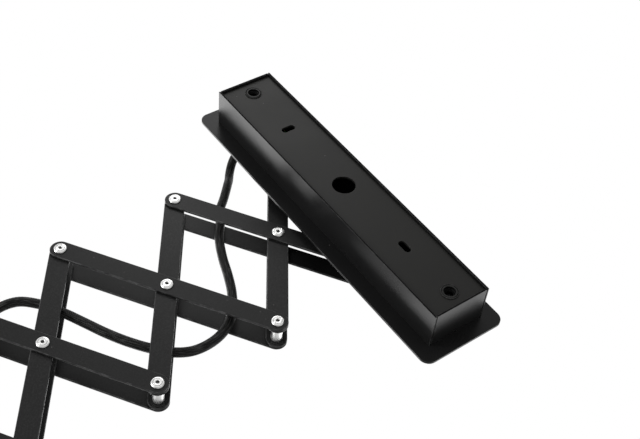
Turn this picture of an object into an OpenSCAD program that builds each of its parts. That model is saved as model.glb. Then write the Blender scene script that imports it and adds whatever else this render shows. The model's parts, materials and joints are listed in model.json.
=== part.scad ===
// Accordion wall lamp. The wall is the plane y = 0 and the room is on its -Y side.
// +Z is up the wall. The arm is drawn swung to +X, alongside the wall, half way open.

/* [Wall box] */
// Height of the wall box
box_l = 280; // [272:1:320]
// Width of the wall box
box_w = 50; // [46:1:60]
// Depth of the wall box, from the wall to the face plate
box_d = 32; // [28:1:40]
// Thickness of the sheet that the box is folded from
box_t = 1.5; // [1:0.1:2]
// Width of the open seam at each corner of the box
seam_w = 0.8; // [0.3:0.1:1.2]
// Depth of the open seam at each corner of the box
seam_d = 0.7; // [0.4:0.1:0.9]
// Width of the folded tabs inside the box
tab_w = 6; // [4:0.5:7]
// Length of each folded tab inside the box
tab_l = 24; // [15:1:30]
// Height of the tab centres above and below the middle of the box
tab_z = 98; // [92:1:102]

/* [Face plate] */
// Rim of the face plate outside the box
face_rim = 12.5; // [8:0.5:14]
// Thickness of the face plate
face_t = 2; // [1.5:0.1:3]
// Corner radius of the face plate
face_r = 8; // [5:0.5:12]

/* [Wall bracket] */
// Thickness of the wall bracket
bracket_t = 2; // [1.5:0.1:2.5]
// Depth of the bracket below the rim of the box
bracket_in = 2.1; // [1.5:0.1:4]
// Gap between the bracket and the box all round
bracket_gap = 0.4; // [0.3:0.1:1]
// Diameter of the cable hole in the middle of the bracket
cable_hole_d = 18.5; // [14:0.5:24]
// Length of each slot for a wall screw
slot_l = 12; // [9:0.5:16]
// Width of each slot for a wall screw
slot_w = 5.5; // [4.5:0.5:6.5]
// Distance between the two slots
slot_pitch = 150; // [130:1:160]
// Distance from each end of the wall box to the threaded insert there
insert_in = 14; // [12:0.5:15]
// Diameter of the ring of an insert
insert_ring_d = 13.5; // [12:0.5:14]
// Thickness of the ring of an insert
insert_ring_t = 0.8; // [0.5:0.1:1.2]
// Outer diameter of the sleeve of an insert
insert_d = 10; // [9.5:0.1:10.5]
// Length of an insert
insert_l = 15; // [10:1:18]
// Diameter of the cover screws that run into the inserts
cover_screw_d = 6; // [5:0.5:6]

/* [Wall hinge] */
// Distance from the face plate to the axis of the wall hinge
hinge_out = 17.75; // [17:0.25:24]
// Thickness of the hinge lugs
lug_t = 3; // [2:0.5:4]
// Width of the hinge lugs
lug_w = 16; // [14:1:18]
// Length of the foot of each lug on the face plate
lug_foot = 20; // [19:0.5:21]
// Diameter of the lug screws
lug_screw_d = 4; // [3:0.5:4]
// Distance between the two screws in a lug
lug_screw_pitch = 8; // [7.5:0.5:9]
// Diameter of the hinge pins
hinge_pin_d = 6; // [4:0.5:7]
// Gap between a lug and the swing channel
hinge_gap = 0.5; // [0.3:0.1:1]

/* [Channels] */
// Thickness of the channel sheet
channel_t = 1.5; // [1:0.1:2]
// Reach of a channel behind the line of its pivots
channel_back = 11.5; // [10:0.5:13]
// Reach of a channel in front of the line of its pivots
channel_lip = 8.5; // [6:0.5:10]
// Thickness of the end plates of a channel
end_t = 3; // [2:0.5:4]
// Length of a channel past its outermost pivots
channel_end = 12; // [10:0.5:13]
// Gap between a channel and the bars beside it
channel_gap = 0.3; // [0.2:0.05:0.5]

/* [Scissor arm] */
// How much shorter the bars are than the wall box, between their end pivots
link_short = 104; // [102:1:124]
// Width of the bars
bar_w = 16; // [12:0.5:17]
// Thickness of the bars
bar_t = 2; // [1.5:0.1:3]
// Edge break of the bars
bar_edge = 0.4; // [0.2:0.1:0.6]
// Gap between the two inner bars of a pivot
bar_gap = 15.5; // [14:0.5:16.5]
// Gap between two bars that turn on each other
layer_gap = 0.1; // [0.05:0.05:0.2]
// Angle of the bars from the arm's length, as drawn
fold = 55.5; // [45:0.5:62]
// Angle of the bars with the arm pulled right out
fold_open = 35.5; // [30:0.5:42]
// Angle of the bars with the arm pushed right in
fold_shut = 75; // [68:0.5:76]
// Distance from the top end of the wall box down to the upper pivots
top_pivot_in = 54; // [53:1:56]

/* [Pivots] */
// Diameter of the pivot rivets
pivot_d = 5; // [4:0.5:5.5]
// Diameter of a rivet head
head_d = 10; // [9:0.5:12]
// Height of a rivet head
head_h = 1.5; // [1:0.1:2]
// Diameter of the dimple in a rivet head
dimple_d = 2.7; // [2:0.1:3]
// Depth of the dimple
dimple_h = 2.4; // [0.8:0.1:2.6]
// Outer diameter of the spacer tubes
spacer_d = 8.5; // [7:0.5:10]
// Radial running clearance of every pivot
run = 0.05; // [0.03:0.01:0.1]

/* [Lamp head] */
// Depth of the shade
shade_h = 84; // [76:1:95]
// Diameter of the mouth of the shade
shade_d = 92; // [80:1:96]
// Diameter of the flat top of the shade
shade_top_d = 44; // [42:1:50]
// Thickness of the shade metal
shade_t = 1.2; // [0.8:0.1:1.6]
// Diameter of the holder cap
cap_d = 36; // [34:1:38]
// Height of the holder cap
cap_h = 33; // [30:1:38]
// Wall of the holder cap
cap_t = 1.2; // [0.8:0.1:1.6]
// Drop from the end of the front channel to the tilt axis
tilt_drop = 14; // [12:0.5:18]
// Drop from the tilt axis to the top of the holder cap
neck_drop = 22; // [19:0.5:26]
// Diameter of the neck
neck_d = 9; // [7:0.5:9]
// Diameter of the neck's barrel and of the ears round it
barrel_d = 16; // [14:0.5:17]
// Diameter of the tilt bolt
tilt_bolt_d = 6; // [5:0.5:6]
// Diameter of the tilt knob
knob_d = 17; // [14:0.5:20]
// Length of the tilt knob
knob_l = 9; // [7:0.5:12]
// Diameter of the lamp holder
holder_d = 28; // [26:0.5:28.5]
// Diameter of the screw shell of the bulb
bulb_screw_d = 13.8; // [12:0.1:14]
// Diameter of the bulb
bulb_d = 44; // [36:1:45]

/* [Cord] */
// Diameter of the braided cord
cord_d = 7.5; // [6:0.1:8]

/* [Hidden] */

$fn = 48;
cut = 1;

black = "#26262a";
zinc = "#d9dbdd";
brass = "#b9a062";
plastic = "#e4e1d8";
cord_black = "#1a1a1c";
plastic_black = "#202022";
glass = "#f4f1e6";
lead_colours = ["#5a3a22", "#2b5fa8", "#6f9a2e"];

// Wall unit
face_l = box_l + 2 * face_rim;
face_w = box_w + 2 * face_rim;
face_y = -box_d - face_t;
box_in_w = box_w - 2 * box_t;
box_in_l = box_l - 2 * box_t;
bracket_y = -bracket_in;
insert_z = box_l / 2 - insert_in;
ledge_y = bracket_y - bracket_t;
screw_head_h = 3;
cover_screw_tip_y = bracket_y - 6;

// Hinge and channels
axis_y = face_y - hinge_out;
half_link = (box_l - link_short) / 2;
top_pivot_z = box_l / 2 - top_pivot_in;
bottom_pivot_z = top_pivot_z - 2 * half_link * sin(fold);
middle_pivot_z = (top_pivot_z + bottom_pivot_z) / 2;
shut_pivot_z = top_pivot_z - 2 * half_link * sin(fold_shut);
open_pivot_z = top_pivot_z - 2 * half_link * sin(fold_open);
stage = 2 * half_link * cos(fold);
stages = 4;
front_x = stages * stage;
channel_top = top_pivot_z + channel_end;
channel_bottom = shut_pivot_z - channel_end;
channel_half = bar_gap / 2 - channel_gap;
lug_head_d = 1.75 * lug_screw_d;
lug_head_h = 0.55 * lug_screw_d;
pin_head_d = 1.7 * hinge_pin_d;
pin_foot_d = 1.4 * hinge_pin_d;
pin_head_h = 2;
pin_foot_h = 1.5;
pin_slack = 0.2;

// Layers of bars, measured from the middle plane of the arm
inner_low = bar_gap / 2;
inner_high = inner_low + bar_t;
outer_low = inner_high + layer_gap;
outer_high = outer_low + bar_t;
seat = 0.05;

// Lamp head
tilt_z = channel_bottom - tilt_drop;
cap_top_z = tilt_z - neck_drop;
shade_top_z = cap_top_z - cap_h;
barrel_half = channel_half - channel_t - 0.2;
collar_d = neck_d + 2;
neck_in = 10;
boss_d = 16;
bush_d = cord_d + 2;
bush_neck_d = cord_d + 0.5;
bush_h = 8;
bush_x = front_x - collar_d / 2 - bush_d / 2 - 0.3;
holder_below = 21;
holder_above = 14;
holder_bottom_z = shade_top_z - holder_below;
holder_top_z = shade_top_z + holder_above;
ring_h = 5;
shell_l = 24;
thread_turns = 6;
thread_pitch = (shell_l - 7.2) / thread_turns;
bulb_top_z = holder_bottom_z - 1;
rim_bead_d = 2.2;
nut_w = 10;
nut_t = 5;

// Strain relief on the face plate
gland_side_gap = 8;
gland_end_gap = 18.5;
gland_x = box_in_w / 2 - gland_side_gap;
gland_z = box_in_l / 2 - gland_end_gap;
gland_l = 12;
gland_tip_d = cord_d + 1.3;
gland_neck_d = gland_tip_d + 2.2;
gland_d = gland_neck_d + 2.4;
gland_inside = 5.5;

// Terminal block and earth screw on the inside of the face plate
block_w = 32;
block_l = 20;
block_h = 14;
block_pitch = 10;
block_z = 30;
block_y = block_h - box_d;
block_hole = 6;
terminal_screw_d = 3;
earth_side_gap = 11.5;
earth_x = earth_side_gap - box_in_w / 2;
earth_drop = 40;
earth_z = gland_z - earth_drop;
earth_d = 4;
earth_nut_d = 7.2;
earth_nut_t = 2.5;

// Route of the cord's middle line, from the strain relief to the bush in the holder cap
route = [
    [gland_x, face_y - gland_l, gland_z], [17.3, -56.6, 118.6], [22.8, -64, 114.5],
    [30.6, -67, 108.7], [35.9, -66.3, 103.4], [44.4, -64, 93.6], [54.5, -60.5, 81.7],
    [65.6, -56.5, 68.7], [76.6, -53.1, 55.1],
    for (p = [
        [87, 40], [95, 22.5], [101, 5.5], [108, -11], [118, -26.5], [131, -37.5], [146, -42],
        [161, -41], [174, -34], [186, -21.5], [196.5, -7.5], [205, 6.5], [213, 22], [222, 39],
        [233, 55.5], [246, 66], [261, 67], [275, 58], [286, 43], [295.5, 25], [304, 6],
        [312, -13], [320.5, -32], [330.5, -50], [342, -67], [354, -82.5], [366, -95],
        [376.2, -103.6], [383.4, -111.2], [387.2, -118.3]
    ]) [p.x, axis_y, p.y],
    [bush_x, axis_y, cap_top_z + bush_h]
];
// Points of the route where one stretch of cord ends and the next starts
route_cuts = [0, 3, 11, 20, 28, 33, 39];
cord_sides = 8;

// Routes of the three leads inside the box, from the terminals and the earth stud to the strain relief
lead_d = 2.2;
lead_sides = 6;
lead_y = block_y - 0.6 * block_h;
lead_in_z = block_z + block_l - 3;
gland_in_y = -box_d + gland_inside;
lead_rise = gland_z - lead_in_z;
lead_pitch = 2.1;
lead_hump = 9;
earth_hump = 18;
lead_routes = [
    for (k = [0, 1]) let (from = (k - 1) * block_pitch, to = gland_x + (2 * k - 1) * lead_pitch) [
        [from, lead_y, lead_in_z], [from, lead_y + 0.11 * lead_hump, lead_in_z + 0.2 * lead_rise],
        [0.55 * from + 0.4 * k * to, lead_y + 0.67 * lead_hump, lead_in_z + 0.5 * lead_rise],
        [0.75 * to, lead_y + lead_hump, lead_in_z + 0.8 * lead_rise],
        [to, lead_y + 0.78 * lead_hump, lead_in_z + 0.965 * lead_rise], [to, gland_in_y, gland_z - lead_d / 2]
    ],
    [
        [earth_x, -box_d + 0.6 * earth_nut_t, earth_z + earth_nut_d / 2],
        [earth_x, -box_d + 0.22 * earth_hump, earth_z + 0.25 * (gland_z - earth_z)],
        [0.8 * earth_x, -box_d + 0.67 * earth_hump, earth_z + 0.45 * (gland_z - earth_z)],
        [0.1 * gland_x, -box_d + earth_hump, earth_z + 0.8 * (gland_z - earth_z)],
        [gland_x, -box_d + 0.83 * earth_hump, gland_z + 0.7 * lead_pitch],
        [gland_x, gland_in_y, gland_z + 1.2 * lead_pitch]
    ]
];

function unit(v) = v / norm(v);
function terminal_rows() = [block_z + 5, block_z + block_l - 5];
function lug_row(k) = hinge_gap + lug_t + 0.4 + lug_head_d / 2 + k * lug_screw_pitch;
function lug_screw_rows() =
    [for (k = [0, 1]) each [channel_top + lug_row(k), channel_bottom - lug_row(k)]];
function pivot(n, level) = [n * stage, level > 0 ? top_pivot_z : bottom_pivot_z];
function middle(n) = [(n - 0.5) * stage, middle_pivot_z];

// Heading of a route at point i, with its first and last headings given
function heading(points, i, first, last) =
    i == 0 ? first : i == len(points) - 1 ? last : unit(points[i + 1] - points[i - 1]);

// A flat piece in an upright plane: its outline is in X and Z and it reaches forward from y
module upright(y, t) {
    translate([0, y, 0]) rotate([90, 0, 0]) linear_extrude(t) children();
}

// A round rod that reaches forward, to -Y, from y
module rod_y(x, y, z, r, l) {
    translate([x, y, z]) rotate([90, 0, 0]) cylinder(r = r, h = l);
}

// A round tube swept through points with their headings; about is a direction across all of them
module swept_tube(points, headings, d, sides, about) {
    n = len(points);
    rings = [for (i = [0:n - 1]) let (u = unit(cross(headings[i], about)), v = cross(headings[i], u))
        for (k = [0:sides - 1])
            points[i] + d / 2 * (cos(360 * k / sides) * u + sin(360 * k / sides) * v)];
    skin = [for (i = [0:n - 2]) for (k = [0:sides - 1])
        let (m = (k + 1) % sides, a = i * sides, b = (i + 1) * sides)
        each [[a + k, b + k, b + m], [a + k, b + m, a + m]]];
    first_face = [for (k = [0:sides - 1]) k];
    last_face = [for (k = [sides - 1:-1:0]) (n - 1) * sides + k];
    polyhedron(rings, concat(skin, [first_face, last_face]));
}

module cord_stretch(k) {
    about = k == 0 ? [0.8, 0, 0.6] : [0, 1, 0];
    ids = [for (i = [route_cuts[k]:route_cuts[k + 1]]) i];
    color(cord_black)
        swept_tube([for (i = ids) route[i]],
            [for (i = ids) heading(route, i, [0, -1, 0], [0, 0, -1])], cord_d, cord_sides, about);
}

// Wall unit

module wall_bracket() {
    color(black) difference() {
        upright(bracket_y, bracket_t)
            square([box_in_w - 2 * bracket_gap, box_in_l - 2 * bracket_gap], center = true);
        rod_y(0, 0, 0, cable_hole_d / 2, box_d);
        for (s = [-1, 1]) rod_y(0, 0, s * insert_z, insert_d / 2 + run, box_d);
        translate([0, 0, slot_pitch / 2]) slot_cut(slot_l, slot_w);
        translate([0, 0, -slot_pitch / 2]) rotate([0, 90, 0]) slot_cut(slot_l, slot_w);
    }
}

// A slot across X that goes through the bracket
module slot_cut(l, w) {
    upright(0, box_d) square([l - w, w], center = true);
    for (s = [-1, 1]) rod_y(s * (l - w) / 2, 0, 0, w / 2, box_d);
}

module bracket_inserts() {
    ring_r = insert_ring_d / 2;
    mouth_r = cover_screw_d / 2 + 1.6;
    bore_r = cover_screw_d / 2 + run;
    t = insert_ring_t;
    color(black) for (s = [-1, 1])
        translate([0, bracket_y, s * insert_z]) rotate([-90, 0, 0]) rotate_extrude() polygon([
            [bore_r, -insert_l], [insert_d / 2, -insert_l], [insert_d / 2, 0], [ring_r, 0],
            [ring_r, t - 0.2], [ring_r - 0.2, t], [ring_r - 0.4, t], [ring_r - 0.5, 0.3 * t],
            [ring_r - 0.95, 0.3 * t], [ring_r - 1.05, t], [mouth_r, t], [mouth_r - 0.2, -1.6],
            [bore_r, -2.4]
        ]);
}

module wall_box() {
    color(black) difference() {
        union() {
            difference() {
                upright(0, box_d) square([box_w, box_l], center = true);
                translate([0, cut, 0]) upright(0, box_d + 2 * cut)
                    square([box_in_w, box_in_l], center = true);
            }
            for (side = [-1, 1]) for (end = [-1, 1]) {
                box_tab(side, end * tab_z, ledge_y);
                box_tab(side, end * tab_z * 0.75, -box_d + box_t);
            }
        }
        for (side = [-1, 1]) for (end = [-1, 1])
            translate([side * (box_w / 2 - box_t), cut, end * box_l / 2])
                upright(0, box_d + 2 * cut) square([seam_w, 2 * seam_d], center = true);
    }
}

// A tab folded inwards from a long wall of the box; its wall side is at y
module box_tab(side, z, y) {
    translate([side * (box_in_w / 2 - tab_w / 2 + box_t / 4), 0, z])
        upright(y, box_t) square([tab_w + box_t / 2, tab_l], center = true);
}

module face_plate() {
    color(black) difference() {
        union() {
            upright(-box_d, face_t) square([face_w - 2 * face_r, face_l], center = true);
            upright(-box_d, face_t) square([face_w, face_l - 2 * face_r], center = true);
            for (sx = [-1, 1]) for (sz = [-1, 1])
                rod_y(sx * (face_w / 2 - face_r), -box_d, sz * (face_l / 2 - face_r), face_r, face_t);
        }
        for (s = [-1, 1]) rod_y(0, 0, s * insert_z, cover_screw_d / 2 + 0.3, 2 * box_d);
        for (z = lug_screw_rows()) rod_y(0, 0, z, lug_screw_d / 2 + run, 2 * box_d);
        rod_y(gland_x, 0, gland_z, gland_neck_d / 2 + run, 2 * box_d);
        rod_y(earth_x, 0, earth_z, earth_d / 2 + run, 2 * box_d);
    }
}

module cover_screws() {
    color(black) for (s = [-1, 1]) difference() {
        union() {
            rod_y(0, cover_screw_tip_y, s * insert_z, cover_screw_d / 2,
                cover_screw_tip_y - face_y);
            button_head(0, s * insert_z, face_y, 1.8 * cover_screw_d, screw_head_h);
        }
        hex_socket(0, s * insert_z, face_y - screw_head_h, 0.66 * cover_screw_d);
    }
}

// A domed screw head that stands forward from y
module button_head(x, z, y, d, h) {
    translate([x, y, z]) rotate([90, 0, 0]) rotate_extrude()
        polygon([[0, 0], [d / 2, 0], [d / 2, 0.35 * h], [0.42 * d, 0.7 * h], [0.28 * d, h], [0, h]]);
}

// A six sided socket whose mouth is at y
module hex_socket(x, z, y, across) {
    translate([x, y - cut, z]) rotate([-90, 0, 0])
        cylinder(r = across / sqrt(3), h = cut + 0.45 * across, $fn = 6);
}

module terminal_block() {
    color(plastic) difference() {
        translate([-block_w / 2, block_y - block_h, block_z]) cube([block_w, block_h, block_l]);
        for (p = [-1:1]) {
            for (z = terminal_rows())
                rod_y(p * block_pitch, 0, z, terminal_screw_d / 2 + run, 0.55 * block_h - block_y);
            for (end = [0, 1]) translate([p * block_pitch, lead_y, block_z + end * block_l])
                cylinder(r = lead_d / 2 + 0.3, h = 2 * block_hole, center = true);
        }
        for (s = [-1, 1]) translate([s * block_pitch / 2, block_y + cut, block_z - cut])
            rotate([90, 0, 0]) translate([-0.6, 0, 0]) cube([1.2, block_l + 2 * cut, 2 + cut]);
    }
}

module terminal_screws() {
    color(brass) for (p = [-1:1]) for (z = terminal_rows()) difference() {
        rod_y(p * block_pitch, block_y - 2, z, terminal_screw_d / 2, 0.55 * block_h - 2);
        translate([p * block_pitch - 0.4, block_y - 3, z - terminal_screw_d])
            cube([0.8, 1 + cut, 2 * terminal_screw_d]);
    }
}

module inner_leads() {
    for (k = [0:2]) color(lead_colours[k]) swept_tube(lead_routes[k],
        [for (i = [0:len(lead_routes[k]) - 1]) heading(lead_routes[k], i, [0, 0, 1], [0, -1, 0])],
        lead_d, lead_sides, [1, 0, 0]);
}

module earth_screw() {
    color(zinc) {
        rod_y(earth_x, -box_d + 2 * earth_nut_t, earth_z, earth_d / 2, 2 * earth_nut_t + face_t);
        rod_y(earth_x, -box_d + earth_nut_t, earth_z, earth_nut_d / 2, earth_nut_t);
    }
}

module cord_gland() {
    inside = gland_in_y + box_d;
    flange = inside + face_t;
    color(cord_black) translate([gland_x, gland_in_y, gland_z]) rotate([90, 0, 0]) rotate_extrude()
        polygon([
            [0, 0], [gland_neck_d / 2 - 0.7, 0], [gland_neck_d / 2 + 0.5, inside - 1.4],
            [gland_neck_d / 2 + 0.5, inside - 0.1], [gland_neck_d / 2, inside - 0.1],
            [gland_neck_d / 2, flange], [gland_d / 2, flange], [gland_d / 2, flange + 1.6],
            [gland_d / 2 - 0.8, flange + 2.4], [gland_tip_d / 2 + 1, flange + 2.8],
            for (i = [0:3]) let (r = gland_tip_d / 2 + 0.9 - 0.25 * i, h = flange + 3.4 + 2 * i)
                each [[r, h], [r - 0.6, h + 0.3], [r - 0.6, h + 1], [r - 0.1, h + 1.3]],
            [gland_tip_d / 2, flange + gland_l - 0.4], [gland_tip_d / 2 - 0.3, flange + gland_l],
            [0, flange + gland_l]
        ]);
}

// Hinge between the wall unit and the arm

// Places a piece at the end of a channel, turned outwards
module at_end(edge, up) {
    translate([0, axis_y, edge]) {
        if (up) children();
        if (!up) mirror([0, 0, 1]) children();
    }
}

module hinge_lug(edge, up) {
    color(black) at_end(edge, up) translate([0, 0, hinge_gap]) difference() {
        union() {
            translate([-lug_w / 2, 0, 0]) cube([lug_w, hinge_out, lug_t]);
            cylinder(r = lug_w / 2, h = lug_t);
            translate([-lug_w / 2, hinge_out - lug_t, 0]) cube([lug_w, lug_t, lug_foot]);
        }
        translate([0, 0, -cut]) cylinder(r = hinge_pin_d / 2 + run, h = lug_t + 2 * cut);
        for (k = [0, 1])
            rod_y(0, hinge_out + cut, lug_row(k) - hinge_gap, lug_screw_d / 2 + run, lug_t + 2 * cut);
    }
}

module hinge_lug_top() { hinge_lug(channel_top, true); }

module hinge_lug_bottom() { hinge_lug(channel_bottom, false); }

module lug_screws() {
    color(black) for (z = lug_screw_rows()) difference() {
        union() {
            rod_y(0, -box_d + lug_screw_d, z, lug_screw_d / 2, lug_screw_d + face_t + lug_t);
            button_head(0, z, face_y - lug_t, lug_head_d, lug_head_h);
        }
        hex_socket(0, z, face_y - lug_t - lug_head_h, 0.6 * lug_screw_d);
    }
}

module hinge_pin() {
    outside = hinge_gap + lug_t + seat;
    inside = -end_t - pin_slack;
    translate([0, 0, inside - pin_foot_h]) cylinder(r = pin_foot_d / 2, h = pin_foot_h);
    translate([0, 0, inside - pin_foot_h])
        cylinder(r = hinge_pin_d / 2, h = outside - inside + pin_foot_h);
    translate([0, 0, outside]) rotate_extrude() polygon([
        [0, 0], [pin_head_d / 2, 0], [pin_head_d / 2, 0.4 * pin_head_h],
        [pin_head_d / 2 - 1, pin_head_h], [0, pin_head_h]
    ]);
}

module hinge_pins() {
    color(zinc) {
        at_end(channel_top, true) hinge_pin();
        at_end(channel_bottom, false) hinge_pin();
    }
}

// A folded channel on the line of its pivots, with its web on the -X side
module channel() {
    half = channel_half;
    back = -channel_back;
    fold_r = 1;
    translate([0, axis_y, channel_bottom]) linear_extrude(channel_top - channel_bottom) polygon([
        [channel_lip, half], [back + fold_r, half], [back, half - fold_r],
        [back, fold_r - half], [back + fold_r, -half], [channel_lip, -half],
        [channel_lip, channel_t - half], [back + channel_t, channel_t - half],
        [back + channel_t, half - channel_t], [channel_lip, half - channel_t]
    ]);
    for (z = [channel_bottom, channel_top - end_t])
        translate([back + channel_t / 2, axis_y - half + channel_t / 2, z])
            cube([channel_back + channel_lip - channel_t / 2, 2 * half - channel_t, end_t]);
}

// The slot for the sliding lower pivot of a channel
module channel_slot() {
    r = pivot_d / 2 + 2 * run;
    wide = 2 * channel_half + 2 * cut;
    for (z = [shut_pivot_z, open_pivot_z]) rod_y(0, axis_y + wide / 2, z, r, wide);
    translate([-r, axis_y - wide / 2, shut_pivot_z]) cube([2 * r, wide, open_pivot_z - shut_pivot_z]);
}

module swing_channel() {
    color(black) difference() {
        channel();
        rod_y(0, axis_y + box_d, top_pivot_z, pivot_d / 2 + run, 2 * box_d);
        channel_slot();
        translate([0, axis_y, channel_bottom - cut])
            cylinder(r = hinge_pin_d / 2 + run, h = end_t + 2 * cut);
        translate([0, axis_y, channel_top - end_t - cut])
            cylinder(r = hinge_pin_d / 2 + run, h = end_t + 2 * cut);
    }
}

// Scissor arm

// A flat bar whose rear face is at y, from the pivot at, turned up from +X by angle
module bar(at, angle, y) {
    w = bar_w / 2;
    color(black) translate([at.x, y, at.y]) rotate([0, -angle, 0]) difference() {
        union() {
            rotate([90, 0, 90]) linear_extrude(2 * half_link) polygon([
                [0, bar_edge - w], [-bar_edge, -w], [bar_edge - bar_t, -w], [-bar_t, bar_edge - w],
                [-bar_t, w - bar_edge], [bar_edge - bar_t, w], [-bar_edge, w], [0, w - bar_edge]
            ]);
            for (x = [0, 2 * half_link]) translate([x, 0, 0]) rotate([90, 0, 0]) rotate_extrude()
                polygon([
                    [0, 0], [w - bar_edge, 0], [w, bar_edge], [w, bar_t - bar_edge],
                    [w - bar_edge, bar_t], [0, bar_t]
                ]);
        }
        for (n = [0:2]) rod_y(n * half_link, cut, 0, pivot_d / 2 + run, bar_t + 2 * cut);
    }
}

module falling_bar(n, rear) {
    bar(pivot(n - 1, 1), -fold, axis_y + (rear ? inner_high : -inner_low));
}

module rising_bar(n, rear) {
    bar(pivot(n - 1, -1), fold, axis_y + (rear ? outer_high : -outer_low));
}

// A rivet along Y whose two heads sit half away from the middle plane of the arm
module rivet(at, half) {
    r = head_d / 2;
    ring = 0.65 * r;
    top = half + head_h;
    side = [
        [0.42 * dimple_d, top - dimple_h], [dimple_d / 2, top - 0.15], [ring - 0.35, top],
        [ring, top - 0.35], [ring + 0.35, top - 0.05], [r - 0.8, top - 0.2],
        [r - 0.15, half + 0.45 * head_h], [r, half + 0.2], [r, half], [pivot_d / 2, half]
    ];
    under = [for (i = [len(side) - 1:-1:0]) [side[i].x, -side[i].y]];
    translate([at.x, axis_y, at.y]) rotate([90, 0, 0]) rotate_extrude()
        polygon(concat([[0, top - dimple_h]], side, under, [[0, dimple_h - top]]));
}

module pivot_rivets(n) {
    color(zinc) {
        rivet(pivot(n - 1, 1), (n == 1 ? inner_high : outer_high) + seat);
        rivet(middle(n), outer_high + seat);
        rivet(pivot(n, -1), (n == stages ? inner_high : outer_high) + seat);
    }
}

module slide_rivet() { color(zinc) rivet(pivot(0, -1), outer_high + seat); }

module end_rivet() { color(zinc) rivet(pivot(stages, 1), outer_high + seat); }

// A tube round a rivet, from low to high on one side of the middle plane of the arm
module sleeve(at, low, high, d) {
    translate([at.x, axis_y + high, at.y]) rotate([90, 0, 0]) difference() {
        cylinder(r = d / 2, h = high - low);
        translate([0, 0, -cut]) cylinder(r = pivot_d / 2 + run, h = high - low + 2 * cut);
    }
}

module spacer_tubes(n) {
    color(zinc) {
        if (n > 1) sleeve(pivot(n - 1, 1), -inner_low, inner_low, spacer_d);
        sleeve(middle(n), -inner_low, inner_low, spacer_d);
        if (n < stages) sleeve(pivot(n, -1), -inner_low, inner_low, spacer_d);
    }
}

// Washers between a channel and the outer bars
module channel_washers(at) {
    color(zinc) {
        sleeve(at, channel_half + seat, outer_low, head_d + 2);
        sleeve(at, -outer_low, -channel_half - seat, head_d + 2);
    }
}

module slide_washers() { channel_washers(pivot(0, -1)); }

module end_washers() { channel_washers(pivot(stages, 1)); }

// Lamp head

module front_channel() {
    color(black) translate([front_x, 0, 0]) difference() {
        union() {
            mirror([1, 0, 0]) channel();
            for (s = [-1, 1]) {
                y = axis_y + (s > 0 ? channel_half : channel_t - channel_half);
                rod_y(0, y, tilt_z, barrel_d / 2, channel_t);
                translate([-barrel_d / 2, y - channel_t, tilt_z])
                    cube([barrel_d, channel_t, channel_bottom - tilt_z + cut]);
            }
        }
        rod_y(0, axis_y + box_d, top_pivot_z, pivot_d / 2 + run, 2 * box_d);
        rod_y(0, axis_y + box_d, tilt_z, tilt_bolt_d / 2 + run, 2 * box_d);
        channel_slot();
    }
}

module tilt_bolt() {
    knob_y = axis_y - channel_half - seat;
    nut_y = axis_y + channel_half + seat + nut_t;
    color(black) difference() {
        union() {
            rod_y(front_x, nut_y + 1, tilt_z, tilt_bolt_d / 2, nut_y + 1 - knob_y);
            translate([front_x, knob_y, tilt_z]) rotate([90, 0, 0]) rotate_extrude() polygon([
                [0, 0], [knob_d / 2 - 2.5, 0], [knob_d / 2 - 2, 1.5], [knob_d / 2 - 0.6, 1.8],
                [knob_d / 2, 2.4], [knob_d / 2, knob_l - 0.8], [knob_d / 2 - 0.8, knob_l], [0, knob_l]
            ]);
        }
        for (a = [0:30:330])
            rod_y(front_x + (knob_d / 2 + 0.5) * cos(a), knob_y - 1,
                tilt_z + (knob_d / 2 + 0.5) * sin(a), 1.3, knob_l + cut);
    }
}

module tilt_nut() {
    color(zinc) translate([front_x, axis_y + channel_half + seat + nut_t, tilt_z]) rotate([90, 0, 0])
        difference() {
            cylinder(r = nut_w / sqrt(3), h = nut_t, $fn = 6);
            translate([0, 0, -cut]) cylinder(r = tilt_bolt_d / 2 + run, h = nut_t + 2 * cut);
        }
}

module shade_neck() {
    color(black) difference() {
        union() {
            rod_y(front_x, axis_y + barrel_half, tilt_z, barrel_d / 2, 2 * barrel_half);
            translate([front_x, axis_y, cap_top_z - neck_in])
                cylinder(r = neck_d / 2, h = neck_in + neck_drop);
            translate([front_x, axis_y, cap_top_z]) cylinder(r = collar_d / 2, h = 2.5);
            translate([front_x, axis_y, cap_top_z - cap_t - 3]) cylinder(r = collar_d / 2, h = 3);
        }
        rod_y(front_x, axis_y + box_d, tilt_z, tilt_bolt_d / 2 + run, 2 * box_d);
    }
}

module holder_cap() {
    r = cap_d / 2;
    color(black) difference() {
        translate([front_x, axis_y, cap_top_z]) rotate_extrude() polygon([
            [neck_d / 2 + run, 0], [r - 2.5, 0], [r - 0.8, -0.8], [r, -2.5], [r, seat - cap_h],
            [r - cap_t, seat - cap_h], [r - cap_t, -3], [r - 3, -cap_t], [neck_d / 2 + run, -cap_t]
        ]);
        translate([bush_x, axis_y, cap_top_z - cap_t - cut])
            cylinder(r = bush_neck_d / 2 + run, h = cap_t + 2 * cut);
    }
}

module cap_bush() {
    color(cord_black) translate([bush_x, axis_y, cap_top_z]) rotate_extrude() polygon([
        [0, -cap_t - 1.5], [bush_neck_d / 2 + 0.6, -cap_t - 1.5], [bush_neck_d / 2 + 0.6, -cap_t],
        [bush_neck_d / 2, -cap_t], [bush_neck_d / 2, 0], [bush_d / 2, 0], [bush_d / 2, 2],
        [cord_d / 2 + 0.5, bush_h], [0, bush_h]
    ]);
}

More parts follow.
